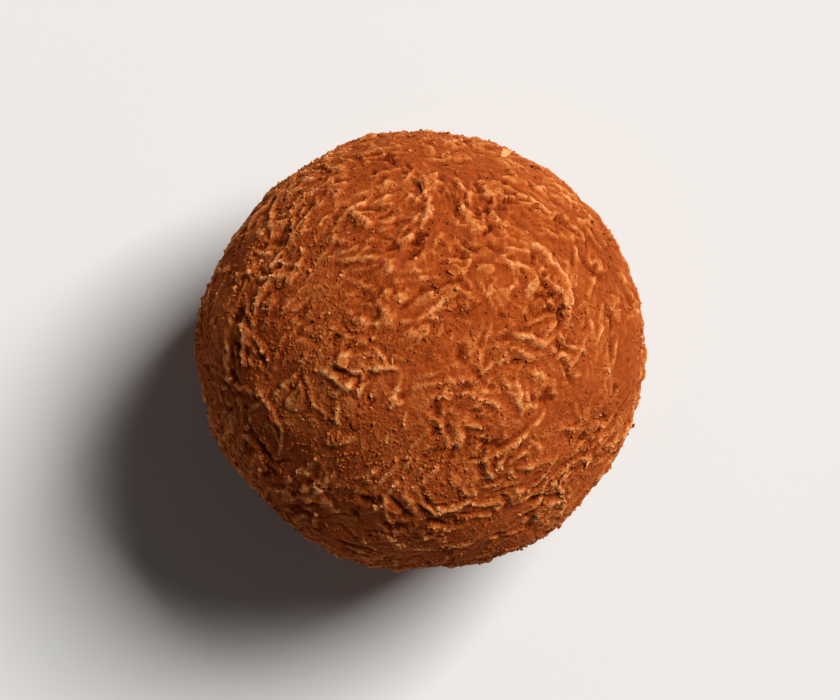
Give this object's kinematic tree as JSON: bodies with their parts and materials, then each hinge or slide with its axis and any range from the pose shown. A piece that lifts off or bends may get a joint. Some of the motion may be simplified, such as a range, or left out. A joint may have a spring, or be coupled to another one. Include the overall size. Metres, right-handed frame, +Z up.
{
  "type": "chocolate truffle",
  "caption": "Hand-rolled ball of soft chocolate dusted with cocoa powder, with a craggy, flaky skin and a small flat spot underneath that it rests on.",
  "frame": {"origin": "middle of the ball's footprint, on the flat spot that it rests on", "axes": "+Z up, away from the flat spot; +X along the ball's slightly wider way"},
  "size_m": [0.0274, 0.0268, 0.0259],
  "materials": {
    "cocoa_dusted_chocolate": "matte"
  },
  "bodies": {
    "root": {"truffle": "cocoa_dusted_chocolate"}
  },
  "joints": []
}
